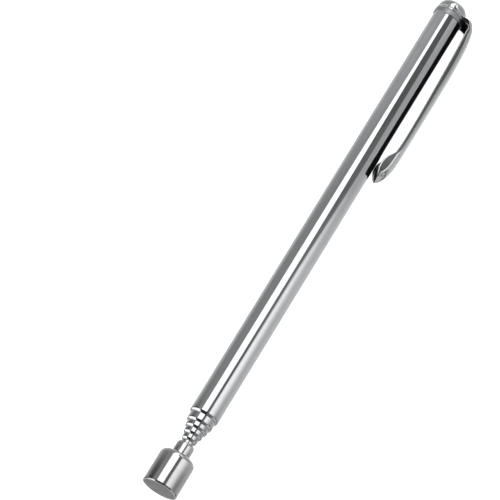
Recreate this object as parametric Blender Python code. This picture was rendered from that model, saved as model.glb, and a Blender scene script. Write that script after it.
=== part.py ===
"""A telescopic magnetic pickup tool, closed and lying down: five tubes, a rod, a magnet head and a pocket clip.

The tool's axis is X. The magnet's pick-up face is at the origin and faces -X, and +Z is up.
Sizes are in millimetres here, and metres() turns them into Blender's units as they go into a mesh.
A turned piece is given by its profile: points (x along the axis, radius), from the piece's own front end.
"""

from math import cos, pi, radians, sin, sqrt

import bmesh
import bpy
from mathutils import Matrix, Vector

MILLIMETRE = 0.001
ROUND_STEPS = 32
SAME_POINT = 1e-7

# Telescope: section 1 is the outer tube, sections 2 to 5 are tubes, and section 6 is a solid rod.
OUTER_RADIUS = 3.30
RADIUS_STEP = 0.39
WALL = 0.21
LAST_SECTION = 6
OUTER_TUBE_FRONT = 17.9
TUBE_2_FRONT = 15.96
FRONT_STEP = 1.39
SECTION_REAR = 119.2
OUTER_TUBE_REAR = 123.4

# Swaged mouth of a tube, which holds back the stop bead of the section inside it.
MOUTH_CLEARANCE = 0.03
MOUTH_EDGE = 0.12
MOUTH_LAND = 0.60
MOUTH_RUN_IN = 0.25
MOUTH_ROUND = 0.80

# Rear end of an inner section: stop bead, groove for the friction shims, rear flare.
BEAD_HEIGHT = 0.12
BEAD_LENGTH = 0.30
GROOVE_LENGTH = 3.60
FLARE_HEIGHT = 0.14
FLARE_LENGTH = 0.40
SHIM_INNER_GAP = 0.04
SHIM_THICKNESS = 0.10
SHIM_END_GAP = 0.05
SHIM_SPAN = radians(160)
SHIM_STEPS = 10

# Magnet head.
HEAD_RADIUS = 4.0
HEAD_RIM_ROUND = 0.15
HEAD_LENGTH = 8.3
SHOULDER_DEPTH = 1.5
SHOULDER_ROUND = 1.25
NECK_RADIUS = 2.0
NECK_END = 11.2
NECK_ROUND = 0.55
CUP_WALL = 0.38
CUP_DEPTH = 6.2
ROD_SOCKET_END = 8.7
ROD_FRONT = 8.8
SOCKET_GAP = 0.04
MAGNET_GAP = 0.05
MAGNET_LENGTH = 4.95
BACKING_FRONT = 5.0
BACKING_REAR = 6.12

# Rear end of the outer tube.
PLUG_FRONT = 119.6
PLUG_REAR = 123.35
PLUG_GAP = 0.04
SHANK_RADIUS = 1.6
SHANK_GAP = 0.05
SHANK_FRONT = 120.0
COLLAR_FRONT = 122.5
COLLAR_REAR = 123.7
COLLAR_RADIUS = 3.48
COLLAR_FLANGE = 123.45
COLLAR_GAP = 0.03
COLLAR_FRONT_CHAMFER = 0.05
COLLAR_REAR_CHAMFER = 0.10
RING_FRONT = 123.75
RING_REAR = 124.15
RING_RADIUS = 3.42
DOME_FRONT = 124.2
DOME_SHOULDER = 124.55
DOME_TOP = 127.1
DOME_RADIUS = 3.30
DOME_CHAMFER = 0.06

# Pocket clip. u is the distance out from the tool's axis, w the distance across the clip.
CLIP_ROLL = radians(9)
CLIP_HALF_WIDTH = 2.75
CLIP_SHEET = 0.38
CLIP_ARCH = 1.5
ARCH_SHARE = 0.7
ARCH_STEPS = 8
CLIP_CROWN = 7.12
CLIP_RIM = 5.35
CLIP_RISE_LENGTH = 14.0
CROWN_RISE = 0.75
RIM_RISE = 0.65
CLIP_BEND = (121.2, 6.1)
CLIP_ARM_START = 120.7
LOBE_START = 89.1
LOBE_LENGTH = 6.7
LOBE_DROP = 1.67
LOBE_BLUNTNESS = 0.8
TIP_START = 88.8
TIP_LENGTH = 6.3
TIP_DROP = 2.5
TIP_FULLNESS = 1.15
ROOT_CLEARANCE = 3.62
ROOT_CLEARANCE_FRONT = 120.0
DRILL_OVERRUN = 1.0

# Side outline (x, u) of the sheet round the clip's root, and of the hollow inside it.
ROOT_OUTSIDE = [
    (RING_REAR, 2.2),
    (RING_REAR, 3.4),
    (124.6, 4.9),
    (123.3, 5.75),
    (122.2, 6.2),
    (121.0, 6.4),
    (121.0, 4.7),
    (122.5, 4.5),
    (122.7, 2.2),
]
ROOT_HOLLOW = [
    (RING_FRONT, 1.5),
    (RING_FRONT, 3.4),
    (124.1, 4.7),
    (123.1, 5.38),
    (122.08, 5.82),
    (120.5, 6.05),
    (120.5, 1.5),
]


def metres(*lengths):
    return Vector([length * MILLIMETRE for length in lengths])


def section_radius(number):
    return OUTER_RADIUS - RADIUS_STEP * (number - 1)


def section_front(number):
    if number == 1:
        return OUTER_TUBE_FRONT
    if number == LAST_SECTION:
        return ROD_FRONT
    return TUBE_2_FRONT - FRONT_STEP * (number - 2)


def metal(name, colour, roughness):
    made = bpy.data.materials.new(name)
    made.use_nodes = True
    shader = made.node_tree.nodes["Principled BSDF"]
    shader.inputs["Base Color"].default_value = (*colour, 1.0)
    shader.inputs["Roughness"].default_value = roughness
    shader.inputs["Metallic"].default_value = 1.0
    return made


def finished(name, mesh_data, finish, parent, at=(0.0, 0.0, 0.0)):
    """Turns the bmesh into a named object at a place along the tool, hung on its body's empty."""
    bmesh.ops.recalc_face_normals(mesh_data, faces=mesh_data.faces)
    mesh = bpy.data.meshes.new(name)
    mesh_data.to_mesh(mesh)
    mesh_data.free()
    mesh.shade_smooth()
    mesh.set_sharp_from_angle(angle=radians(35))
    made = bpy.data.objects.new(name, mesh)
    made.data.materials.append(finish)
    bpy.context.scene.collection.objects.link(made)
    made.parent = parent
    made.location = metres(*at) - (parent.location if parent else Vector())
    return made


def spin_all_round(shape, points, pairs):
    edges = [shape.edges.new(pair) for pair in pairs]
    bmesh.ops.spin(
        shape,
        geom=points + edges,
        cent=(0.0, 0.0, 0.0),
        axis=(1.0, 0.0, 0.0),
        angle=2 * pi,
        steps=ROUND_STEPS,
        use_merge=True,
    )
    bmesh.ops.remove_doubles(shape, verts=shape.verts, dist=SAME_POINT)


def turned(name, profile, finish, parent, front=0.0):
    """Spins a closed profile round the X axis. Points on the axis close into a pole."""
    shape = bmesh.new()
    points = [shape.verts.new(metres(x, 0.0, radius)) for x, radius in profile]
    on_axis = profile[0][1] == 0.0 and profile[-1][1] == 0.0
    pairs = list(zip(points, points[1:]))
    if not on_axis:
        pairs.append((points[-1], points[0]))
    spin_all_round(shape, points, pairs)
    return finished(name, shape, finish, parent, (front, 0.0, 0.0))


def quarter_round(start, end, steps=3):
    """Points on a quarter of an ellipse between two profile points, leaving the first along the radius."""
    (x0, r0), (x1, r1) = start, end
    angles = [pi / 2 * i / steps for i in range(steps + 1)]
    return [(x0 + (x1 - x0) * (1 - cos(a)), r0 + (r1 - r0) * sin(a)) for a in angles]


def rear_end(radius, length):
    """Outer profile of an inner section's rear, from the flare forward to the stop bead."""
    groove_rear = length - FLARE_LENGTH
    groove_front = groove_rear - GROOVE_LENGTH
    bead_front = groove_front - BEAD_LENGTH
    return [
        (length, radius + FLARE_HEIGHT),
        (groove_rear, radius + FLARE_HEIGHT),
        (groove_rear, radius),
        (groove_front, radius),
        (groove_front, radius + BEAD_HEIGHT),
        (bead_front, radius + BEAD_HEIGHT),
        (bead_front, radius),
    ]


def tube(name, number, finish, parent):
    radius = section_radius(number)
    bore = radius - WALL
    mouth = section_radius(number + 1) + MOUTH_CLEARANCE
    rear = OUTER_TUBE_REAR if number == 1 else SECTION_REAR
    length = rear - section_front(number)
    profile = quarter_round((0.0, mouth + MOUTH_EDGE), (MOUTH_ROUND, radius))
    profile += [(length, radius)] if number == 1 else rear_end(radius, length)[::-1]
    profile += [
        (length, bore),
        (MOUTH_LAND + MOUTH_RUN_IN, bore),
        (MOUTH_LAND, mouth),
        (0.0, mouth),
    ]
    return turned(name, profile, finish, parent, section_front(number))


def rod(name, finish, parent):
    radius = section_radius(LAST_SECTION)
    length = SECTION_REAR - ROD_FRONT
    profile = [(0.0, 0.0), (0.0, radius)] + rear_end(radius, length)[::-1] + [(length, 0.0)]
    return turned(name, profile, finish, parent, ROD_FRONT)


def shim(name, number, middle, finish, parent):
    """A half-round friction spring: a thin strip bent round the section's groove."""
    inner = section_radius(number) + SHIM_INNER_GAP
    outer = inner + SHIM_THICKNESS
    length = GROOVE_LENGTH - 2 * SHIM_END_GAP
    front = SECTION_REAR - FLARE_LENGTH - SHIM_END_GAP - length
    shape = bmesh.new()
    corners = [(0.0, inner), (length, inner), (length, outer), (0.0, outer)]
    points = [shape.verts.new(metres(x, 0.0, radius)) for x, radius in corners]
    edges = [shape.edges.new(pair) for pair in zip(points, points[1:] + points[:1])]
    first_turn = Matrix.Rotation(middle - SHIM_SPAN / 2, 3, "X")
    bmesh.ops.rotate(shape, verts=points, cent=(0.0, 0.0, 0.0), matrix=first_turn)
    bmesh.ops.spin(
        shape,
        geom=points + edges,
        cent=(0.0, 0.0, 0.0),
        axis=(1.0, 0.0, 0.0),
        angle=SHIM_SPAN,
        steps=SHIM_STEPS,
    )
    bmesh.ops.holes_fill(shape, edges=shape.edges, sides=4)
    return finished(name, shape, finish, parent, (front, 0.0, 0.0))


def magnet_cup(finish, parent):
    cavity = HEAD_RADIUS - CUP_WALL
    socket = section_radius(LAST_SECTION) + SOCKET_GAP
    shoulder_inner = (HEAD_LENGTH, HEAD_RADIUS - SHOULDER_DEPTH)
    shoulder_outer = (HEAD_LENGTH - SHOULDER_ROUND, HEAD_RADIUS)
    shoulder = quarter_round(shoulder_inner, shoulder_outer, 5)
    neck = quarter_round((NECK_END, NECK_RADIUS - NECK_ROUND), (NECK_END - NECK_ROUND, NECK_RADIUS))
    profile = quarter_round((0.0, HEAD_RADIUS - HEAD_RIM_ROUND), (HEAD_RIM_ROUND, HEAD_RADIUS), 2)
    profile += shoulder[::-1]
    profile += [(HEAD_LENGTH, NECK_RADIUS)]
    profile += neck[::-1]
    profile += [(NECK_END, socket), (ROD_SOCKET_END, socket), (ROD_SOCKET_END, 0.0)]
    inside = [(CUP_DEPTH, 0.0), (CUP_DEPTH, cavity), (0.0, cavity)]
    return two_sided("magnet_cup", profile, inside, finish, parent)


def two_sided(name, outside, inside, finish, parent):
    """A turned piece with a cavity at each end: its outside ends on the axis, and its inside starts there."""
    shape = bmesh.new()
    outer = [shape.verts.new(metres(x, 0.0, radius)) for x, radius in outside]
    inner = [shape.verts.new(metres(x, 0.0, radius)) for x, radius in inside]
    pairs = list(zip(outer, outer[1:])) + list(zip(inner, inner[1:])) + [(inner[-1], outer[0])]
    spin_all_round(shape, outer + inner, pairs)
    return finished(name, shape, finish, parent)


def disc(name, radius, front, rear, finish, parent):
    profile = [(0.0, 0.0), (0.0, radius), (rear - front, radius), (rear - front, 0.0)]
    return turned(name, profile, finish, parent, front)


def rear_plug(finish, parent):
    radius = OUTER_RADIUS - WALL - PLUG_GAP
    bore = SHANK_RADIUS + SHANK_GAP
    length = PLUG_REAR - PLUG_FRONT
    profile = [(0.0, bore), (0.0, radius), (length, radius), (length, bore)]
    return turned("rear_plug", profile, finish, parent, PLUG_FRONT)


def cap_collar(finish, parent):
    """A ferrule over the tube's end, turned in over its edge."""
    inner = OUTER_RADIUS + COLLAR_GAP
    length = COLLAR_REAR - COLLAR_FRONT
    flange = COLLAR_FLANGE - COLLAR_FRONT
    throat = SHANK_RADIUS + SHANK_GAP
    profile = [
        (0.0, inner),
        (0.0, COLLAR_RADIUS - COLLAR_FRONT_CHAMFER),
        (COLLAR_FRONT_CHAMFER, COLLAR_RADIUS),
        (length - COLLAR_REAR_CHAMFER, COLLAR_RADIUS),
        (length, COLLAR_RADIUS - COLLAR_REAR_CHAMFER),
        (length, throat),
        (flange, throat),
        (flange, inner),
    ]
    return turned("cap_collar", profile, finish, parent, COLLAR_FRONT)


def end_cap(finish, parent):
    dome = quarter_round((DOME_TOP, 0.0), (DOME_SHOULDER, DOME_RADIUS), 8)
    profile = [(SHANK_FRONT, 0.0), (SHANK_FRONT, SHANK_RADIUS), (DOME_FRONT, SHANK_RADIUS)]
    profile += [(DOME_FRONT, DOME_RADIUS - DOME_CHAMFER), (DOME_FRONT + DOME_CHAMFER, DOME_RADIUS)]
    profile += dome[::-1]
    local = [(x - SHANK_FRONT, radius) for x, radius in profile]
    return turned("end_cap", local, finish, parent, SHANK_FRONT)


def clip_point(x, out, across):
    """A point of the clip from its distance along, out from and across the tool's axis."""
    y = -out * cos(CLIP_ROLL) - across * sin(CLIP_ROLL)
    z = -out * sin(CLIP_ROLL) + across * cos(CLIP_ROLL)
    return metres(x, y, z)


def risen(x):
    """How far the arm has risen from its bend at x: 0 at the bend, 1 where it runs level."""
    return min(1.0, max(0.0, (CLIP_BEND[0] - x) / CLIP_RISE_LENGTH))


def crown(x):
    """Height of the clip's outer face: it bows up from the root, runs level, and rounds down at the tip."""
    height = CLIP_CROWN - CROWN_RISE * (1.0 - risen(x)) ** 2
    if x < TIP_START:
        share = min(1.0, (TIP_START - x) / TIP_LENGTH)
        height -= TIP_DROP * (1.0 - sqrt(1.0 - share * share))
    return height


def rim(x):
    """Height of the free edge of the clip's side walls, which dip into a lobe near the tip."""
    height = CLIP_RIM - RIM_RISE * (1.0 - risen(x)) ** 2
    dip = (LOBE_START - x) / LOBE_LENGTH
    if 0.0 < dip < 1.0:
        height -= LOBE_DROP * sin(pi * dip) ** LOBE_BLUNTNESS
    return height


def arm_section(x):
    """Closed outline of the arm at x: the arched outside from rim to rim, then the inside back again."""
    share = max(0.0, TIP_START - x) / TIP_LENGTH
    half = CLIP_HALF_WIDTH * min(1.0, TIP_FULLNESS * sqrt(1.0 - share * share))
    top, edge = crown(x), rim(x)
    arch = min(CLIP_ARCH, ARCH_SHARE * (top - edge))
    outside = [(edge, half)]
    inside = [(edge, half - CLIP_SHEET)]
    for i in range(ARCH_STEPS + 1):
        a = pi * i / ARCH_STEPS
        outside.append((top - arch + arch * sin(a), half * cos(a)))
        inside.append((top - arch + (arch - CLIP_SHEET) * sin(a), (half - CLIP_SHEET) * cos(a)))
    outside.append((edge, -half))
    inside.append((edge, -half + CLIP_SHEET))
    return [clip_point(x, out, across) for out, across in outside + inside[::-1]]


def clip_arm(finish, parent):
    rising = [CLIP_ARM_START - CLIP_RISE_LENGTH * i / 5 for i in range(5)]
    level = [CLIP_BEND[0] - CLIP_RISE_LENGTH, (CLIP_BEND[0] - CLIP_RISE_LENGTH + LOBE_START) / 2]
    lobe = [LOBE_START - LOBE_LENGTH * i / 8 for i in range(8)]
    stations = rising + level + lobe
    shape = bmesh.new()
    rings = [[shape.verts.new(point) for point in arm_section(x)] for x in stations]
    for near, far in zip(rings, rings[1:]):
        count = len(near)
        for i in range(count):
            j = (i + 1) % count
            shape.faces.new((near[i], near[j], far[j], far[i]))
    for end in (rings[0], rings[-1]):
        half = len(end) // 2
        for i in range(half - 1):
            shape.faces.new((end[i], end[i + 1], end[-2 - i], end[-1 - i]))
    pivot = clip_point(*CLIP_BEND, 0.0)
    bmesh.ops.translate(shape, verts=shape.verts, vec=-pivot)
    return finished("clip_arm", shape, finish, parent, pivot / MILLIMETRE)


def prism(name, outline, half_width, finish, parent):
    """A side outline (x, u) of the clip, extruded across it."""
    shape = bmesh.new()
    face = shape.faces.new([shape.verts.new(clip_point(x, out, -half_width)) for x, out in outline])
    made = bmesh.ops.extrude_face_region(shape, geom=[face])["geom"]
    moved = clip_point(0.0, 0.0, half_width) - clip_point(0.0, 0.0, -half_width)
    bmesh.ops.translate(shape, verts=[v for v in made if isinstance(v, bmesh.types.BMVert)], vec=moved)
    return finished(name, shape, finish, parent)


def helper(obj):
    obj.hide_render = True
    obj.display_type = "WIRE"
    return obj


def combine(obj, operation, other):
    step = obj.modifiers.new(f"{operation}_{other.name}", "BOOLEAN")
    step.operation = operation
    step.solver = "EXACT"
    step.object = other


def clip_ring(finish, parent):
    """The clip's washer with the tab that stands out from it and the two walls of its root."""
    root = prism("clip_ring", ROOT_OUTSIDE, CLIP_HALF_WIDTH, finish, parent)
    inside = helper(prism("root_hollow", ROOT_HOLLOW, CLIP_HALF_WIDTH - CLIP_SHEET, finish, parent))
    clear_length = RING_FRONT - ROOT_CLEARANCE_FRONT
    around = [(0.0, 0.0), (0.0, ROOT_CLEARANCE), (clear_length, ROOT_CLEARANCE), (clear_length, 0.0)]
    clearance = helper(turned("collar_clearance", around, finish, parent, ROOT_CLEARANCE_FRONT))
    bore = SHANK_RADIUS + SHANK_GAP
    ring_length = RING_REAR - RING_FRONT
    flat = [(0.0, 0.0), (0.0, RING_RADIUS), (ring_length, RING_RADIUS), (ring_length, 0.0)]
    washer = helper(turned("washer", flat, finish, parent, RING_FRONT))
    drill_length = ring_length + 2 * DRILL_OVERRUN
    hole = [(0.0, 0.0), (0.0, bore), (drill_length, bore), (drill_length, 0.0)]
    drill = helper(turned("washer_hole", hole, finish, parent, RING_FRONT - DRILL_OVERRUN))
    combine(root, "DIFFERENCE", inside)
    combine(root, "DIFFERENCE", clearance)
    combine(root, "UNION", washer)
    combine(root, "DIFFERENCE", drill)
    return root


def body(name, place):
    """An empty on the joint's axis, which carries the nodes of one moving body."""
    made = bpy.data.objects.new(name, None)
    bpy.context.scene.collection.objects.link(made)
    made.location = place
    return made


def main():
    for obj in list(bpy.data.objects):
        bpy.data.objects.remove(obj)
    chrome = metal("chrome", (0.86, 0.87, 0.88), 0.06)
    bright_nickel = metal("bright_nickel", (0.80, 0.79, 0.77), 0.16)
    magnet_plating = metal("magnet_plating", (0.55, 0.55, 0.56), 0.30)
    bronze = metal("bronze", (0.72, 0.50, 0.28), 0.30)
    brass = metal("brass", (0.80, 0.62, 0.32), 0.30)
    steel = metal("steel", (0.50, 0.50, 0.51), 0.40)

    handle = body("handle", metres(OUTER_TUBE_FRONT, 0.0, 0.0))
    tube("outer_tube", 1, chrome, handle)
    rear_plug(brass, handle)
    cap_collar(chrome, handle)
    clip_ring(chrome, handle)
    end_cap(chrome, handle)
    clip = body("clip", clip_point(*CLIP_BEND, 0.0))
    clip_arm(chrome, clip)

    section_end = metres(SECTION_REAR, 0.0, 0.0)
    for number in range(2, LAST_SECTION + 1):
        sliding = body(f"shims_{number}", section_end)
        shim(f"shim_{number}_upper", number, 0.0, bronze, sliding)
        shim(f"shim_{number}_lower", number, pi, bronze, sliding)
        section = body(f"section_{number}", section_end)
        if number < LAST_SECTION:
            tube(f"tube_{number}", number, chrome, section)
    rod("inner_rod", chrome, section)
    magnet_cup(bright_nickel, section)
    magnet_radius = HEAD_RADIUS - CUP_WALL - MAGNET_GAP
    disc("magnet", magnet_radius, 0.0, MAGNET_LENGTH, magnet_plating, section)
    disc("backing_disc", magnet_radius, BACKING_FRONT, BACKING_REAR, steel, section)


main()
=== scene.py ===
"""A closed telescopic magnetic pickup tool: plated surfaces, turned and pressed as numpy grids.

The tool lies along X with its magnet face at the origin. Lengths inside the shape functions are millimetres.
"""

from math import cos, pi, radians, sin

import bpy
import numpy as np
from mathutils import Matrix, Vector


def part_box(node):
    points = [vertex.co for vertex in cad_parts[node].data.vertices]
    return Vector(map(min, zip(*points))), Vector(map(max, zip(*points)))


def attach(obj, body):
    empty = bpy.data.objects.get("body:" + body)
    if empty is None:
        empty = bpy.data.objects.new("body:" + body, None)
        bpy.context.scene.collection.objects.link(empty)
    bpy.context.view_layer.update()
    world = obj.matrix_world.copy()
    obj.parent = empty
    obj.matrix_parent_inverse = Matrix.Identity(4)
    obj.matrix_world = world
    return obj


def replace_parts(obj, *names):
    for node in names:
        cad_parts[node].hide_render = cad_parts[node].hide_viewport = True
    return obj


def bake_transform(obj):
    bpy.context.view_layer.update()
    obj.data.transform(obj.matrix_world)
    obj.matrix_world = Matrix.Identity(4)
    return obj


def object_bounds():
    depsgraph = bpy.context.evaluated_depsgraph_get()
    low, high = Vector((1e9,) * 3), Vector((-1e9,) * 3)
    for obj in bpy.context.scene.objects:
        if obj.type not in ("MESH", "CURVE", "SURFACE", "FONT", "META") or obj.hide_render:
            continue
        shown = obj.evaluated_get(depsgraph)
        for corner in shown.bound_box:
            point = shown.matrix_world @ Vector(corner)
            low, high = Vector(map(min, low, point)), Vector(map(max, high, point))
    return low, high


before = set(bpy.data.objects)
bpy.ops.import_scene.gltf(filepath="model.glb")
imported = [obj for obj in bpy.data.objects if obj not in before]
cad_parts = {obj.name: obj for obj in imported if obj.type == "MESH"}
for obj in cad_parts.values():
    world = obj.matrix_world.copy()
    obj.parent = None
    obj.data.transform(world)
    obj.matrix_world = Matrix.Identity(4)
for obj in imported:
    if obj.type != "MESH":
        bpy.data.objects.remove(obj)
cad_low, cad_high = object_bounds()

MM = 0.001
AROUND = 192

# A corner's round takes at most this share of either of its sides.
ROUND_SHARE = 0.45

# The drawn tubes. Their places, lengths and radii come from the frame.
WALL = 0.21
FLARE_HEIGHT = 0.14
FLARE_LENGTH = 0.40
BEAD_HEIGHT = 0.12
BEAD_LENGTH = 0.30
GROOVE_LENGTH = 3.60
ROLLED_CORNER = 0.05
MOUTH_CLEARANCE = 0.03
MOUTH_EDGE = 0.10
MOUTH_CORNER = 0.06
MOUTH_LAND = 0.60
MOUTH_RUN_IN = 0.25
OUTER_MOUTH_ROUND = 0.65
INNER_MOUTH_ROUND = 0.60
RINGS_BEHIND_MOUTH = (0.3, 30.0, 60.0)

# The magnet head. The shoulder is measured from the rear end of the neck.
MAGNET_CLEARANCE = 0.05
MAGNET_CORNER = 0.06
CUP_FLOOR_GAP = 0.08
LIP_DEPTH = 0.50
LIP_INNER_CORNER = 0.04
LIP_OUTER_CORNER = 0.02
SHOULDER_TO_NECK_END = 3.0
SHOULDER_AHEAD = 1.15
SHOULDER_BEHIND = 0.12
SHOULDER_DROP = 1.55
NECK_RADIUS = 2.0
NECK_FILLET = 0.12
NECK_FILLET_LENGTH = 0.10
NECK_END_LENGTH = 0.60
NECK_END_DROP = 0.42
SOCKET_CLEARANCE = 0.04
SOCKET_FLOOR_GAP = 0.10

# The cap end. The two faces of the washer are measured back from the ferrule's rear face.
WASHER_FRONT = 0.05
WASHER_REAR = 0.45
WASHER_INSET = 0.06
WASHER_CORNER = 0.12
CAP_GAP = 0.05
SHANK_RADIUS = 1.6
SHANK_CLEARANCE = 0.05
BROW_ROUND = 0.26
BROW_RUN = 1.0
DOME_FROM = 0.45
FERRULE_CLEARANCE = 0.03
FERRULE_END_WALL = 0.25
FERRULE_FRONT_CORNER = 0.07
FERRULE_REAR_CORNER = 0.16


def span(node):
    """Front, rear and outer radius of a turned CAD node, in millimetres."""
    low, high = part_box(node)
    return low.x / MM, high.x / MM, high.z / MM


# ---------------------------------------------------------------- meshes


def put_mesh(name, points, faces, finishes, face_finish=None, sharp=40):
    """Makes one object from an array of points in millimetres and a list of faces."""
    mesh = bpy.data.meshes.new(name)
    mesh.from_pydata((np.asarray(points) * MM).tolist(), [], faces)
    if face_finish is not None:
        mesh.polygons.foreach_set("material_index", np.asarray(face_finish, np.int32))
    for finish in finishes:
        mesh.materials.append(finish)
    mesh.update()
    mesh.shade_smooth()
    mesh.set_sharp_from_angle(angle=radians(sharp))
    made = bpy.data.objects.new(name, mesh)
    bpy.context.scene.collection.objects.link(made)
    return made


def grid_faces(rows, columns, close_rows=False, close_columns=False):
    """Quads of a rows by columns grid of points, joined round on themselves where asked."""
    i = np.arange(rows if close_rows else rows - 1)
    j = np.arange(columns if close_columns else columns - 1)
    i, j = [a.ravel() for a in np.meshgrid(i, j, indexing="ij")]
    below, beside = (i + 1) % rows, (j + 1) % columns
    return np.stack([i * columns + j, i * columns + beside, below * columns + beside, below * columns + j], 1)


def without_repeats(faces):
    """Faces as lists, with corners that fell together dropped, and faces that lost their area left out."""
    kept = []
    for face in faces.tolist():
        corners = [corner for n, corner in enumerate(face) if corner != face[n - 1]]
        if len(corners) > 2:
            kept.append(corners)
    return kept


def turned(name, profile, finish):
    """Surface of revolution about X: each profile point (x, r) becomes a ring (x, r sin a, r cos a).

    A ring of no radius is one point, so that the pole is closed. An open profile starts and ends on the axis.
    """
    profile = np.asarray(profile, float)
    angle = np.linspace(0, 2 * pi, AROUND, endpoint=False)
    x, r = profile[:, :1], profile[:, 1:]
    points = np.stack([x + 0 * angle, r * np.sin(angle), r * np.cos(angle)], 2)
    rows = len(profile)
    poles = profile[:, 1] < 1e-6
    number = np.arange(rows * AROUND).reshape(rows, AROUND)
    number[poles] = number[poles][:, :1]
    faces = number.ravel()[grid_faces(rows, AROUND, close_rows=not poles[0], close_columns=True)]
    used, faces = np.unique(faces, return_inverse=True)
    faces = faces.reshape(-1, 4)
    return put_mesh(name, points.reshape(-1, 3)[used], without_repeats(faces), [finish])


def rounded(outline, radius, steps=5):
    """Replaces each corner of a profile by an arc-like curve of the given radius: a quadratic curve
    from a point before the corner to a point after it, drawn towards the corner. Zero keeps the corner.
    """
    outline = np.asarray(outline, float)
    radii = np.broadcast_to(radius, len(outline))
    made = []
    for n, corner in enumerate(outline):
        before, after = outline[n - 1], outline[(n + 1) % len(outline)]
        if radii[n] == 0:
            made.append(corner)
            continue
        back, on = before - corner, after - corner
        lengths = np.linalg.norm(back), np.linalg.norm(on)
        start = corner + back / lengths[0] * min(radii[n], lengths[0] * ROUND_SHARE)
        stop = corner + on / lengths[1] * min(radii[n], lengths[1] * ROUND_SHARE)
        t = np.linspace(0, 1, steps + 1)[:, None]
        made.extend((1 - t) ** 2 * start + 2 * t * (1 - t) * corner + t**2 * stop)
    return np.array(made)


def elliptic(start, end, steps=10):
    """Quarter of an ellipse between two profile points. It leaves the first along the radius: x goes by
    1 - cos and r by sin.
    """
    a = np.linspace(0, pi / 2, steps + 1)[:, None]
    (x0, r0), (x1, r1) = start, end
    return np.hstack([x0 + (x1 - x0) * (1 - np.cos(a)), r0 + (r1 - r0) * np.sin(a)])


# ---------------------------------------------------------------- finishes


class Socket:
    """A shader value that arithmetic works on: each operator adds the Math node of the same meaning."""

    def __init__(self, tree, out):
        self.tree, self.out = tree, out

    def math(self, operation, other):
        return node(self.tree, "ShaderNodeMath", {"operation": operation}, {0: self, 1: other})

    def between(self, low, high):
        return self.math("MAXIMUM", low).math("MINIMUM", high)

    def __add__(self, other):
        return self.math("ADD", other)

    def __sub__(self, other):
        return self.math("SUBTRACT", other)

    def __rsub__(self, other):
        return (self * -1) + other

    def __mul__(self, other):
        return self.math("MULTIPLY", other)

    __radd__ = __add__
    __rmul__ = __mul__


def node(tree, kind, settings, inputs, output=0):
    """Adds a node, sets its settings first, then its sockets by values or links, and returns one output."""
    made = tree.nodes.new(kind)
    for key, value in settings.items():
        setattr(made, key, value)
    for key, value in inputs.items():
        if isinstance(value, Socket):
            tree.links.new(value.out, made.inputs[key])
        else:
            made.inputs[key].default_value = value
    return Socket(tree, made.outputs[output])


# Noise patterns in the plating: the hairlines run along the tool and the lathe's rings run round it.
HAIRLINE_STRETCH = (60, 900, 900)
RING_STRETCH = (5200, 240, 240)
EDGE_CONTRAST = 14.0
SMEAR_CONTRAST = 3.0
SMEAR_SHARE_OF_GRAIN = 0.8


def noise(tree, place, scale, detail, **more):
    """A noise pattern on the given coordinates."""
    return node(tree, "ShaderNodeTexNoise", {}, {"Vector": place, "Scale": scale, "Detail": detail, **more})


def plated(name, colour, shade, roughness, grain, wear=0.0, turning=0.0, wave=0.0):
    """A plated or bare metal. grain is how much the polish varies, wear dulls the edges of a piece, turning
    adds fine rings left by a lathe, and wave is the depth in millimetres of the plating's slow ripple.
    """
    made = bpy.data.materials.new(name)
    made.use_nodes = True
    tree = made.node_tree
    shader = tree.nodes["Principled BSDF"]
    place = node(tree, "ShaderNodeTexCoord", {}, {}, "Object")
    along = node(tree, "ShaderNodeMapping", {}, {"Vector": place, "Scale": HAIRLINE_STRETCH})
    across = node(tree, "ShaderNodeMapping", {}, {"Vector": place, "Scale": RING_STRETCH})
    hairlines = noise(tree, along, 14.0, 4.0)
    rings = noise(tree, across, 3.0, 3.0)
    smears = noise(tree, place, 420.0, 5.0, Roughness=0.62)
    specks = noise(tree, place, 3800.0, 2.0)
    rub = node(tree, "ShaderNodeNewGeometry", {}, {}, "Pointiness")
    edge = ((rub - 0.5) * EDGE_CONTRAST).between(0.0, 1.0)
    cloud = ((smears - 0.5) * SMEAR_CONTRAST).between(0.0, 1.0)
    smeared = cloud * (grain * SMEAR_SHARE_OF_GRAIN)
    polish = (hairlines - 0.5) * grain + smeared + (rings - 0.5) * turning + edge * wear
    rough = (polish + roughness).between(0.02, 0.9)
    tint = (cloud * 0.35 + (specks - 0.5) * 0.3 + edge * (wear * 2)).between(0.0, 1.0)
    # A Mix node's colours are its inputs 6 and 7, and the mixed colour is its output 2.
    mix = {"data_type": "RGBA", "blend_type": "MIX"}
    blended = node(tree, "ShaderNodeMix", mix, {0: tint, 6: (*colour, 1), 7: (*shade, 1)}, 2)
    tree.links.new(blended.out, shader.inputs["Base Color"])
    tree.links.new(rough.out, shader.inputs["Roughness"])
    shader.inputs["Metallic"].default_value = 1.0
    relief = hairlines * (grain * 0.2) + rings * (turning * 1.5)
    fine = node(tree, "ShaderNodeBump", {}, {"Strength": 0.35, "Distance": 0.01 * MM, "Height": relief})
    slow = noise(tree, place, 260.0, 1.0)
    swell = {"Strength": 1.0, "Distance": wave * MM, "Height": slow, "Normal": fine}
    ripple = node(tree, "ShaderNodeBump", {}, swell)
    tree.links.new(ripple.out, shader.inputs["Normal"])
    return made


CHROME = (0.70, 0.71, 0.72)
CHROME_SHADE = (0.52, 0.53, 0.55)
DULLED = (0.46, 0.47, 0.48)
DULLED_SHADE = (0.34, 0.35, 0.36)
# Near-black painted shadow for the clip's inside and the side walls of its root, where shade falls, with a
# darker mottled second tone.
PAINTED_SHADOW = (0.022, 0.022, 0.023)
PAINTED_SHADOW_DEEP = (0.012, 0.012, 0.013)

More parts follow.
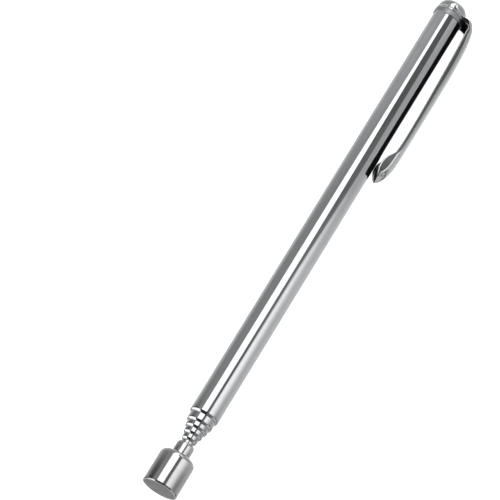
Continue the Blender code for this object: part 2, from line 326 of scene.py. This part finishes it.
chrome = plated("polished_chrome", CHROME, CHROME_SHADE, 0.05, 0.05, wear=0.05, wave=0.002)
ring_chrome = plated("swaged_chrome", CHROME, CHROME_SHADE, 0.07, 0.06, wear=0.10, turning=0.03)
clip_chrome = plated("pressed_chrome", CHROME, CHROME_SHADE, 0.07, 0.06, wear=0.06, wave=0.004)
# The clip's painted shadow: a near-black sheet put on the faces that lie in the clip's shade.
clip_painted_shadow = plated("painted_shadow_sheet", PAINTED_SHADOW, PAINTED_SHADOW_DEEP, 0.42, 0.2)
ferrule_chrome = plated("dulled_chrome", DULLED, DULLED_SHADE, 0.42, 0.15, wear=0.08, turning=0.05)
nickel = plated("bright_nickel", (0.66, 0.66, 0.66), (0.50, 0.50, 0.50), 0.09, 0.06, wear=0.05, turning=0.06)
magnet_face = plated("magnet_plating", (0.34, 0.34, 0.35), (0.24, 0.24, 0.25), 0.34, 0.15, turning=0.05)
bronze = plated("spring_bronze", (0.72, 0.47, 0.24), (0.50, 0.32, 0.18), 0.30, 0.2, turning=0.1)
brass = plated("turned_brass", (0.80, 0.60, 0.30), (0.60, 0.43, 0.20), 0.26, 0.15, turning=0.2)
steel = plated("turned_steel", (0.50, 0.50, 0.51), (0.34, 0.34, 0.35), 0.38, 0.2, turning=0.2)


# ---------------------------------------------------------------- telescope


def rear_end(radius, rear):
    """Outer profile of an inner section's rear, from the stop bead over the groove to the flare."""
    groove_rear = rear - FLARE_LENGTH
    groove_front = groove_rear - GROOVE_LENGTH
    corners = [
        (groove_front - BEAD_LENGTH, radius),
        (groove_front - BEAD_LENGTH, radius + BEAD_HEIGHT),
        (groove_front, radius + BEAD_HEIGHT),
        (groove_front, radius),
        (groove_rear, radius),
        (groove_rear, radius + FLARE_HEIGHT),
        (rear, radius + FLARE_HEIGHT),
    ]
    corner = ROLLED_CORNER
    return rounded(corners, [0, corner, corner, 0, 0, corner, 0], 3)


def tube(name, radius, front, rear, next_radius, flared, mouth_round):
    """A drawn tube. Its mouth is rolled in to the section inside it on a quarter ellipse."""
    bore = radius - WALL
    mouth = next_radius + MOUTH_CLEARANCE
    nose = [(front + MOUTH_LAND / 2, mouth), (front, mouth), (front, mouth + MOUTH_EDGE)]
    nose = rounded(nose, [0, MOUTH_CORNER, 0], 3)
    roll = elliptic((front, mouth + MOUTH_EDGE), (front + mouth_round, radius))[1:]
    body = np.array([(front + mouth_round + step, radius) for step in RINGS_BEHIND_MOUTH])
    back = rear_end(radius, rear) if flared else np.array([(rear, radius)])
    inside = np.array([(rear, bore), (front + MOUTH_LAND + MOUTH_RUN_IN, bore), (front + MOUTH_LAND, mouth)])
    finish = ring_chrome if flared else chrome
    return turned(name, np.vstack([nose, roll, body, back, inside]), finish)


def telescope():
    """The outer tube, the four tubes inside it and the rod. The box of a flared node is as wide as its flare,
    so the height of the flare is taken off to find the section's own radius.
    """
    front, rear, radius = span("outer_tube")
    radii = [radius]
    for number in range(2, 6):
        radii.append(span(f"tube_{number}")[2] - FLARE_HEIGHT)
    radii.append(span("inner_rod")[2] - FLARE_HEIGHT)
    outer = tube("outer_tube_drawn", radius, front, rear, radii[1], False, OUTER_MOUTH_ROUND)
    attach(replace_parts(outer, "outer_tube"), "handle")
    for number in range(2, 6):
        front, rear, _ = span(f"tube_{number}")
        radius, next_radius = radii[number - 1 : number + 1]
        piece = tube(f"tube_{number}_drawn", radius, front, rear, next_radius, True, INNER_MOUTH_ROUND)
        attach(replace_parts(piece, f"tube_{number}"), f"section_{number}")
    front, rear, _ = span("inner_rod")
    radius = radii[5]
    profile = np.vstack([[(front, 0), (front, radius)], rear_end(radius, rear), [(rear, 0)]])
    rod = turned("inner_rod_drawn", profile, ring_chrome)
    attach(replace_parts(rod, "inner_rod"), "section_6")


# ---------------------------------------------------------------- magnet head


def magnet_head():
    """The turned cup with its neck, and the magnet that fills its mouth."""
    _, neck_end, radius = span("magnet_cup")
    magnet_front, magnet_rear, magnet_radius = span("magnet")
    _, backing_rear, _ = span("backing_disc")
    rod_front, _, rod_radius = span("inner_rod")
    cavity = magnet_radius + MAGNET_CLEARANCE
    floor = backing_rear + CUP_FLOOR_GAP
    socket = rod_radius - FLARE_HEIGHT + SOCKET_CLEARANCE
    socket_floor = rod_front - SOCKET_FLOOR_GAP
    shoulder = neck_end - SHOULDER_TO_NECK_END
    shoulder_rear, shoulder_front = shoulder + SHOULDER_BEHIND, shoulder - SHOULDER_AHEAD
    neck_end_front = neck_end - NECK_END_LENGTH
    lip = [(LIP_DEPTH, cavity), (0.0, cavity), (0.0, radius), (LIP_DEPTH, radius)]
    outside = np.vstack(
        [
            rounded(lip, [0, LIP_INNER_CORNER, LIP_OUTER_CORNER, 0], 2)[1:],
            elliptic((shoulder_rear, radius - SHOULDER_DROP), (shoulder_front, radius), 14)[::-1],
            [(shoulder_rear, NECK_RADIUS + NECK_FILLET), (shoulder_rear + NECK_FILLET_LENGTH, NECK_RADIUS)],
            elliptic((neck_end, NECK_RADIUS - NECK_END_DROP), (neck_end_front, NECK_RADIUS), 8)[::-1],
            [(neck_end, socket), (socket_floor, socket), (socket_floor, 0)],
        ]
    )
    cup = turned("magnet_cup_turned", np.vstack([[(floor, 0), (floor, cavity)], outside]), nickel)
    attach(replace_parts(cup, "magnet_cup"), "section_6")
    front_face = [(magnet_front, 0.0), (magnet_front, magnet_radius)]
    rear_face = [(magnet_rear, magnet_radius), (magnet_rear, 0.0)]
    rim = rounded(front_face + rear_face, [0, MAGNET_CORNER, MAGNET_CORNER, 0], 4)
    magnet = turned("magnet_block", rim, magnet_face)
    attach(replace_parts(magnet, "magnet"), "section_6")


# ---------------------------------------------------------------- cap end


def cap_end():
    """Domed cap with its shank, the ferrule over the tube's end and the clip's washer between them."""
    shank_front, top, radius = span("end_cap")
    front, rear, collar = span("cap_collar")
    washer_front, washer_rear = rear + WASHER_FRONT, rear + WASHER_REAR
    base = washer_rear + CAP_GAP
    # The brow's last corner only turns its round towards the dome.
    brow = [(base, SHANK_RADIUS), (base, radius), (base + BROW_RUN, radius)]
    brow = rounded(brow, [0, BROW_ROUND, 0], 5)[:-1]
    dome = elliptic((top, 0.0), (base + DOME_FROM, radius), 28)[::-1]
    shank = [(shank_front, 0), (shank_front, SHANK_RADIUS)]
    cap = turned("domed_cap", np.vstack([shank, brow, dome]), chrome)
    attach(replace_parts(cap, "end_cap"), "handle")
    bore = span("outer_tube")[2] + FERRULE_CLEARANCE
    throat = SHANK_RADIUS + SHANK_CLEARANCE
    end_wall = rear - FERRULE_END_WALL
    outside = [(front, bore), (front, collar), (rear, collar), (rear, throat)]
    inside = [(end_wall, throat), (end_wall, bore)]
    outline = rounded(outside + inside, [0, FERRULE_FRONT_CORNER, FERRULE_REAR_CORNER, 0, 0, 0], 5)
    ferrule = turned("cap_ferrule", outline, ferrule_chrome)
    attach(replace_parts(ferrule, "cap_collar"), "handle")
    edge = collar - WASHER_INSET
    outline = [(washer_front, throat), (washer_front, edge), (washer_rear, edge), (washer_rear, throat)]
    outline = rounded(outline, [0, WASHER_CORNER, WASHER_CORNER, 0], 5)
    washer = turned("clip_washer", outline, clip_chrome)
    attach(washer, "handle")


# ---------------------------------------------------------------- pocket clip

# Outline of the pressed clip seen from its side: (x, distance out from the axis) of its crown line and of its
# rim, at matching stations from the washer, over the bend and along the arm to the tip.
CROWN = [
    (124.1, 2.6), (124.35, 3.2), (124.5, 4.0), (124.5, 4.8), (124.0, 5.5), (122.8, 6.08), (121.0, 6.56),
    (117.5, 6.95), (112.0, 7.18), (104.0, 7.22), (97.0, 7.2), (91.5, 7.18), (89.4, 7.16), (88.3, 7.13),
    (87.2, 7.06), (86.0, 6.92), (84.8, 6.68), (83.8, 6.32), (83.1, 5.8), (82.7, 5.25), (82.54, 4.85),
]
RIM = [
    (123.85, 2.2), (123.8, 2.25), (123.74, 2.3), (123.6, 2.32), (123.4, 2.6), (122.8, 4.75), (121.0, 4.95),
    (118.0, 5.13), (112.5, 5.32), (104.0, 5.58), (97.0, 5.72), (91.6, 5.7), (89.5, 5.46), (88.5, 4.82),
    (87.4, 4.08), (86.2, 3.74), (85.0, 3.78), (84.1, 4.06), (83.3, 4.42), (82.85, 4.66), (82.58, 4.77),
]
CLIP_ROLL = radians(9)
CLIP_HALF_WIDTH = 2.9
# The sheet is thinner where it would take up more than these shares of the height and of the half-width.
CLIP_SHEET = 0.36
SHEET_SHARE_OF_HEIGHT = 0.45
SHEET_SHARE_OF_HALF = 0.5
CLIP_STATIONS = 260
# How far the side walls lean in for each millimetre of their height.
CLIP_FLARE = 0.09
# Height of the arch that joins the walls: places along X, and the height at each. At the washer it starts
# at a share of this and grows to the whole over the first part of the stations. It is never more than
# ARCH_LIMIT of the height from rim to crown, and the arch's inside is never flatter than ARCH_LEAST_INSIDE.
CLIP_ARCH = ((97.0, 112.0), (1.4, 1.15))
ARCH_AT_WASHER = 0.5
ARCH_GROWS_OVER = 0.06
ARCH_LIMIT = 0.72
ARCH_LEAST_INSIDE = 0.02
# The clip narrows a little towards its root, and on an elliptic round at its tip.
ROOT_NARROWING = 0.06
ROOT_SHARE = 0.25
TIP_FROM = 83.1
TIP_LENGTH = 0.9
TIP_NARROWING = 0.94
# The lobe's two rims differ by twice its skew, at the middle of the lobe.
LOBE_FROM = 90.2
LOBE_LENGTH = 8.0
LOBE_SKEW = 0.38
# The side walls of the root, behind this station, are painted near-black as the clip's shade. So is the
# inside, but for a chrome strip along the lower rim from POLISHED_RIM_FROM to the tip.
ROOT_SIDES_FROM = 122.7
POLISHED_RIM_FROM = 89.6
# Points of one station: up each wall, over the arch, and round each rim between the outside and the inside.
WALL_POINTS = 6
ARCH_POINTS = 25
RIM_POINTS = 4


def smooth_path(points, count):
    """Catmull-Rom curve through the points: on each stretch, the cubic whose slope at either end is half the
    step between that end's neighbours.
    """
    p = np.asarray(points, float)
    p = np.vstack([2 * p[0] - p[1], p, 2 * p[-1] - p[-2]])
    t = np.linspace(0, len(p) - 3 - 1e-9, count)
    i, f = t.astype(int), (t % 1)[:, None]
    a, b, c, d = p[i], p[i + 1], p[i + 2], p[i + 3]
    return 0.5 * (2 * b + (c - a) * f + (2 * a - 5 * b + 4 * c - d) * f**2 + (3 * b - a - 3 * c + d) * f**3)


def clip_section():
    """Outline shared by all stations, from the upper rim to the lower one: w goes across from 1 to -1, rise
    goes from 0 at a rim to 1 at the top of its wall, and lift goes from 0 at the walls to 1 at the crown.
    """
    wall = np.linspace(0, 1, WALL_POINTS + 1)[:-1]
    arch = np.linspace(0, pi, ARCH_POINTS)
    flat = np.zeros(WALL_POINTS)
    w = np.concatenate([flat + 1, np.cos(arch), flat - 1])
    rise = np.concatenate([wall, np.ones(ARCH_POINTS), wall[::-1]])
    lift = np.concatenate([flat, np.sin(arch), flat])
    return w, rise, lift


def clip_points():
    """Points of the pressed sheet, stations by points round each, and the X where each station's faces start.

    A station lies across the clip through its crown point C and rim point R, with S between them at the foot
    of the arch. A wall point is R + (S - R) rise, an arch point adds (C - S) lift, and the width is the
    half-width times w. The walls flare: their half-width falls with their height above the rim. The inside
    repeats the outside one sheet thickness in, and a half-round edge joins the two along each rim. Over the
    lobe a lean of skew (1 - rise) moves the upper rim towards the crown and the lower one away from it.
    """
    crown, rim = smooth_path(CROWN, CLIP_STATIONS), smooth_path(RIM, CLIP_STATIONS)
    crown_x, rim_x = crown[:, :1], rim[:, :1]
    up = crown - rim
    height = np.linalg.norm(up, axis=1, keepdims=True)
    up = up / height
    along = np.linspace(0, 1, CLIP_STATIONS)[:, None]
    tip = np.clip((TIP_FROM - crown_x) / TIP_LENGTH, 0, 1)
    half = CLIP_HALF_WIDTH * (1 - TIP_NARROWING * (1 - np.sqrt(1 - tip**2)))
    half = half * (1 - ROOT_NARROWING * np.clip((ROOT_SHARE - along) / ROOT_SHARE, 0, 1))
    sheet = np.minimum(height * SHEET_SHARE_OF_HEIGHT, half * SHEET_SHARE_OF_HALF)
    sheet = np.minimum(CLIP_SHEET, sheet)
    arch = np.interp(crown_x, *CLIP_ARCH) * np.clip(along / ARCH_GROWS_OVER, ARCH_AT_WASHER, 1)
    arch = np.minimum(arch, height * ARCH_LIMIT)
    w, rise, lift = clip_section()
    spring = height - arch
    skew = LOBE_SKEW * np.sin(pi * np.clip((LOBE_FROM - rim_x) / LOBE_LENGTH, 0, 1))
    lean = skew * (1 - rise) * np.sign(w)
    inset = CLIP_FLARE * spring * rise
    outer_w, outer_k = (half - inset) * w, spring * rise + arch * lift + lean
    inner_w = (half - inset - sheet) * w
    inner_k = spring * rise + np.maximum(arch - sheet, ARCH_LEAST_INSIDE) * lift + lean
    turn = np.linspace(0, pi, RIM_POINTS + 2)[1:-1]
    far_w = -half + sheet / 2 * (1 - np.cos(turn))
    edge_k = -sheet / 2 * np.sin(turn)
    ring_w = np.hstack([outer_w, far_w, inner_w[:, ::-1], -far_w[:, ::-1]])
    ring_k = np.hstack([outer_k, edge_k - skew, inner_k[:, ::-1], edge_k[:, ::-1] + skew])
    x = rim_x + up[:, :1] * ring_k
    out = rim[:, 1:] + up[:, 1:] * ring_k
    y = -out * cos(CLIP_ROLL) - ring_w * sin(CLIP_ROLL)
    z = -out * sin(CLIP_ROLL) + ring_w * cos(CLIP_ROLL)
    return np.stack([x, y, z], 2), rim_x[:-1, 0]


def painted_shadow_faces(rim_x, columns):
    """Which faces of the clip's grid take the near-black painted shadow: true or false for each strip of each
    station.
    """
    outline = ARCH_POINTS + 2 * WALL_POINTS
    column = np.tile(np.arange(columns), len(rim_x))
    x = np.repeat(rim_x, columns)
    inside = (column >= outline + RIM_POINTS) & (column < 2 * outline + RIM_POINTS - 1)
    inside &= (x > POLISHED_RIM_FROM) | (column > outline + RIM_POINTS)
    upper_wall = column < WALL_POINTS
    lower_wall = (column >= outline - WALL_POINTS - 1) & (column < outline)
    return inside | ((x > ROOT_SIDES_FROM) & (upper_wall | lower_wall))


def pocket_clip():
    """The clip pressed from one sheet: its grid is closed round each station and capped at both ends."""
    points, rim_x = clip_points()
    stations, columns = points.shape[:2]
    faces = grid_faces(stations, columns, close_columns=True)
    ends = [list(range(columns)), list(range((stations - 1) * columns, stations * columns))[::-1]]
    # Faces in the clip's shade take the second material, the painted shadow.
    made = put_mesh(
        "pressed_clip",
        points.reshape(-1, 3),
        faces[:, ::-1].tolist() + ends,
        [clip_chrome, clip_painted_shadow],
        np.append(painted_shadow_faces(rim_x, columns).astype(int), [0, 0]),
    )
    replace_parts(made, "clip_arm", "clip_ring")
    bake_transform(made)


# ---------------------------------------------------------------- pieces kept from the frame


def hidden_pieces():
    """The frame's inner pieces keep their own shape and take a finish."""
    finishes = {"rear_plug": brass, "backing_disc": steel}
    for name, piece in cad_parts.items():
        finish = bronze if name.startswith("shim") else finishes.get(name)
        if finish:
            piece.data.materials.clear()
            piece.data.materials.append(finish)


# ---------------------------------------------------------------- studio

CAMERA_AZIMUTH = -60.15
CAMERA_ELEVATION = 68.0
CAMERA_DISTANCE = 0.86
CAMERA_LENS = 294.5
CAMERA_TARGET = (0.0552, 0.010188, 0.000038)

WALL_RADIUS = 0.5
# Panels of one brightness ahead of the magnet end: their reach along X, their angles from the upright and
# their glow.
PANEL_COLUMNS = 24
PANELS = {
    "front_left": ((-1.0, 0.05), (-125, -38), 1.5),
    "front_right": ((-0.8, 0.08), (72, 130), 0.50),
    "front_middle": ((-0.8, 0.05), (20, 72), 0.20),
    "front_low": ((-0.8, 0.05), (135, 225), 0.55),
}
ROOM_COLOUR = (0.03, 0.03, 0.031, 1)
OVERHEAD_SIZE = 0.5
OVERHEAD_POWER = 3.0
OVERHEAD_PLACE = (0.055, 0.0, 0.38)
PAPER_REACH = 40000.0
PAPER_COLOUR = (0.93, 0.93, 0.93, 1)
PAPER_GLOW = 0.7


def camera():
    """The main view: the camera looks at its target along an azimuth from the front and an elevation."""
    a, e = radians(CAMERA_AZIMUTH), radians(CAMERA_ELEVATION)
    back = Vector((sin(a) * cos(e), -cos(a) * cos(e), sin(e)))
    data = bpy.data.cameras.new("camera")
    data.lens, data.sensor_width = CAMERA_LENS, 36.0
    data.clip_start, data.clip_end = 0.01, 10.0
    made = bpy.data.objects.new("camera", data)
    bpy.context.scene.collection.objects.link(made)
    made.location = Vector(CAMERA_TARGET) + back * CAMERA_DISTANCE
    made.rotation_mode = "QUATERNION"
    made.rotation_quaternion = (-back).to_track_quat("-Z", "Y")
    bpy.context.scene.camera = made


def glowing(name, strength):
    """A plain glow of one strength."""
    made = bpy.data.materials.new(name)
    made.use_nodes = True
    tree = made.node_tree
    tree.nodes.remove(tree.nodes["Principled BSDF"])
    light = tree.nodes.new("ShaderNodeEmission")
    light.inputs["Strength"].default_value = strength
    tree.links.new(light.outputs["Emission"], tree.nodes["Material Output"].inputs["Surface"])
    return made


def curved_sheet(x, angles):
    """Points (x, -R sin a, R cos a) on the studio's cylinder, a going from the upright towards the clip."""
    a = np.radians(angles)
    x = np.broadcast_to(np.asarray(x)[:, None], a.shape)
    return np.stack([x, -WALL_RADIUS * np.sin(a), WALL_RADIUS * np.cos(a)], 2).reshape(-1, 3) / MM


def staged_glow(name, points, faces, finishes, face_finish=None):
    """A sheet that lights the tool and shows in its reflections, but isn't seen by the camera."""
    made = put_mesh(name, points, faces, finishes, face_finish)
    made.visible_camera = False


def softbox(name, x, angles, strength):
    """A panel of one brightness on the studio's cylinder, between two places along X and two angles."""
    points = curved_sheet(x, np.linspace(*angles, PANEL_COLUMNS)[None, :].repeat(2, 0))
    staged_glow(name, points, grid_faces(2, PANEL_COLUMNS).tolist(), [glowing(name, strength)])


# The lit wall round the tool. Each row is one knot of its brightness round the curve: the angle in degrees
# from the upright towards the clip side, then the glow, at each of the stations along X.
WALL_STATIONS = (0.158, 0.172, 0.230, 0.265, 0.316, 0.450)
WALL_KNOTS = [
    ((-180, -180, -180, -180, -180, -180), (1.00, 1.00, 1.00, 1.00, 1.00, 0.90)),
    ((-145, -145, -145, -145, -145, -145), (0.80, 0.90, 0.90, 0.90, 0.90, 0.70)),
    ((-115, -115, -115, -115, -115, -115), (0.36, 0.58, 0.58, 0.58, 0.58, 0.50)),
    ((-99, -99, -99, -99, -99, -99), (0.24, 0.38, 0.38, 0.38, 0.46, 0.40)),
    ((-90, -88, -86, -86, -86, -86), (0.09, 0.29, 0.28, 0.33, 0.42, 0.34)),
    ((-64, -64, -64, -64, -60, -64), (0.09, 0.26, 0.27, 0.31, 0.44, 0.34)),
    ((-54, -50, -50, -46, -30, -45), (0.28, 0.29, 0.27, 0.28, 0.42, 0.34)),
    ((-30, -29.5, -29, -27, -18, -30), (0.30, 0.29, 0.27, 0.30, 0.40, 0.34)),
    ((-30, -29.5, -29, -27, -18, -30), (1.70, 1.70, 1.70, 1.70, 1.70, 1.70)),
    ((10, 12, 13, 10, 2, 4), (1.70, 1.70, 1.70, 1.70, 1.70, 1.70)),
    ((10, 12, 13, 10, 2, 4), (0.15, 0.15, 0.22, 0.15, 0.11, 0.16)),
    ((27, 29, 31, 50, 44, 12), (0.15, 0.15, 0.22, 0.17, 0.12, 0.16)),
    ((31, 33, 37, 54, 48, 15), (1.10, 1.20, 0.75, 0.42, 0.40, 1.30)),
    ((46, 48, 50, 64, 58, 32), (1.20, 1.30, 1.15, 0.44, 0.42, 1.30)),
    ((66, 68, 64, 75, 75, 40), (0.80, 0.95, 0.80, 0.44, 0.45, 0.40)),
    ((78, 84, 80, 86, 84, 84), (0.42, 0.56, 0.62, 0.48, 0.45, 0.40)),
    ((95, 98, 98, 98, 98, 98), (0.24, 0.55, 0.58, 0.52, 0.45, 0.40)),
    ((118, 118, 118, 118, 118, 118), (0.42, 0.58, 0.60, 0.56, 0.50, 0.45)),
    ((145, 145, 145, 145, 145, 145), (0.50, 0.64, 0.66, 0.70, 0.70, 0.60)),
    ((180, 180, 180, 180, 180, 180), (0.90, 1.00, 1.00, 1.00, 1.00, 0.90)),
]


def light_wall(near=(0.10, 0.36, 27), far=(0.40, 9.0, 12), cells=6, step=0.04):
    """The wall as one sheet between each two knots, its stations even over the near part and growing apart
    over the far part. A cell glows with the knots' mean there, rounded to a step. Two knots at one angle
    make a sharp edge.
    """
    x = np.concatenate([np.linspace(*near), np.geomspace(*far)])
    knots = [[np.interp(x, WALL_STATIONS, part) for part in knot] for knot in WALL_KNOTS]
    points, faces, steps = [], [], []
    share = np.linspace(0, 1, cells + 1)
    for (angle, glow), (next_angle, next_glow) in zip(knots, knots[1:]):
        if np.allclose(angle, next_angle):
            continue
        glow = glow[:, None] + (next_glow - glow)[:, None] * share
        faces.append(grid_faces(len(x), cells + 1) + sum(len(part) for part in points))
        points.append(curved_sheet(x, angle[:, None] + (next_angle - angle)[:, None] * share))
        mean = (glow[:-1, :-1] + glow[1:, 1:]) / 2
        steps.append(np.rint(mean / step).astype(int).ravel())
    levels, chosen = np.unique(np.concatenate(steps), return_inverse=True)
    glows = [glowing(f"glow_{level}", level * step) for level in levels]
    staged_glow("light_wall", np.vstack(points), np.vstack(faces).tolist(), glows, chosen)


def overhead():
    """A soft lamp over the tool, kept out of the reflections."""
    data = bpy.data.lights.new("overhead", "AREA")
    data.shape, data.size = "DISK", OVERHEAD_SIZE
    data.energy = OVERHEAD_POWER
    lamp = bpy.data.objects.new("overhead", data)
    bpy.context.scene.collection.objects.link(lamp)
    lamp.location = OVERHEAD_PLACE
    lamp.visible_camera = False
    lamp.visible_glossy = False


def paper_floor():
    """White paper under the tool, level with the lowest point of the frame, kept out of the reflections."""
    paper = bpy.data.materials.new("white_paper")
    paper.use_nodes = True
    shader = paper.node_tree.nodes["Principled BSDF"]
    shader.inputs["Base Color"].default_value = PAPER_COLOUR
    shader.inputs["Roughness"].default_value = 0.9
    shader.inputs["Specular IOR Level"].default_value = 0.1
    shader.inputs["Emission Color"].default_value = (1, 1, 1, 1)
    shader.inputs["Emission Strength"].default_value = PAPER_GLOW
    reach, level = PAPER_REACH, cad_low.z / MM
    corners = [(-reach, -reach, level), (reach, -reach, level), (reach, reach, level), (-reach, reach, level)]
    floor = put_mesh("floor", corners, [[0, 1, 2, 3]], [paper])
    floor.visible_glossy = False


def studio():
    """The lit wall, its panels, the dark room, the lamp and the paper."""
    light_wall()
    for name, (x, angles, strength) in PANELS.items():
        softbox(name, x, angles, strength)
    world = bpy.data.worlds.new("studio")
    bpy.context.scene.world = world
    world.use_nodes = True
    world.node_tree.nodes["Background"].inputs["Color"].default_value = ROOM_COLOUR
    overhead()
    paper_floor()
    bpy.context.scene.view_settings.view_transform = "Standard"


camera()
telescope()
magnet_head()
cap_end()
pocket_clip()
hidden_pieces()
studio()
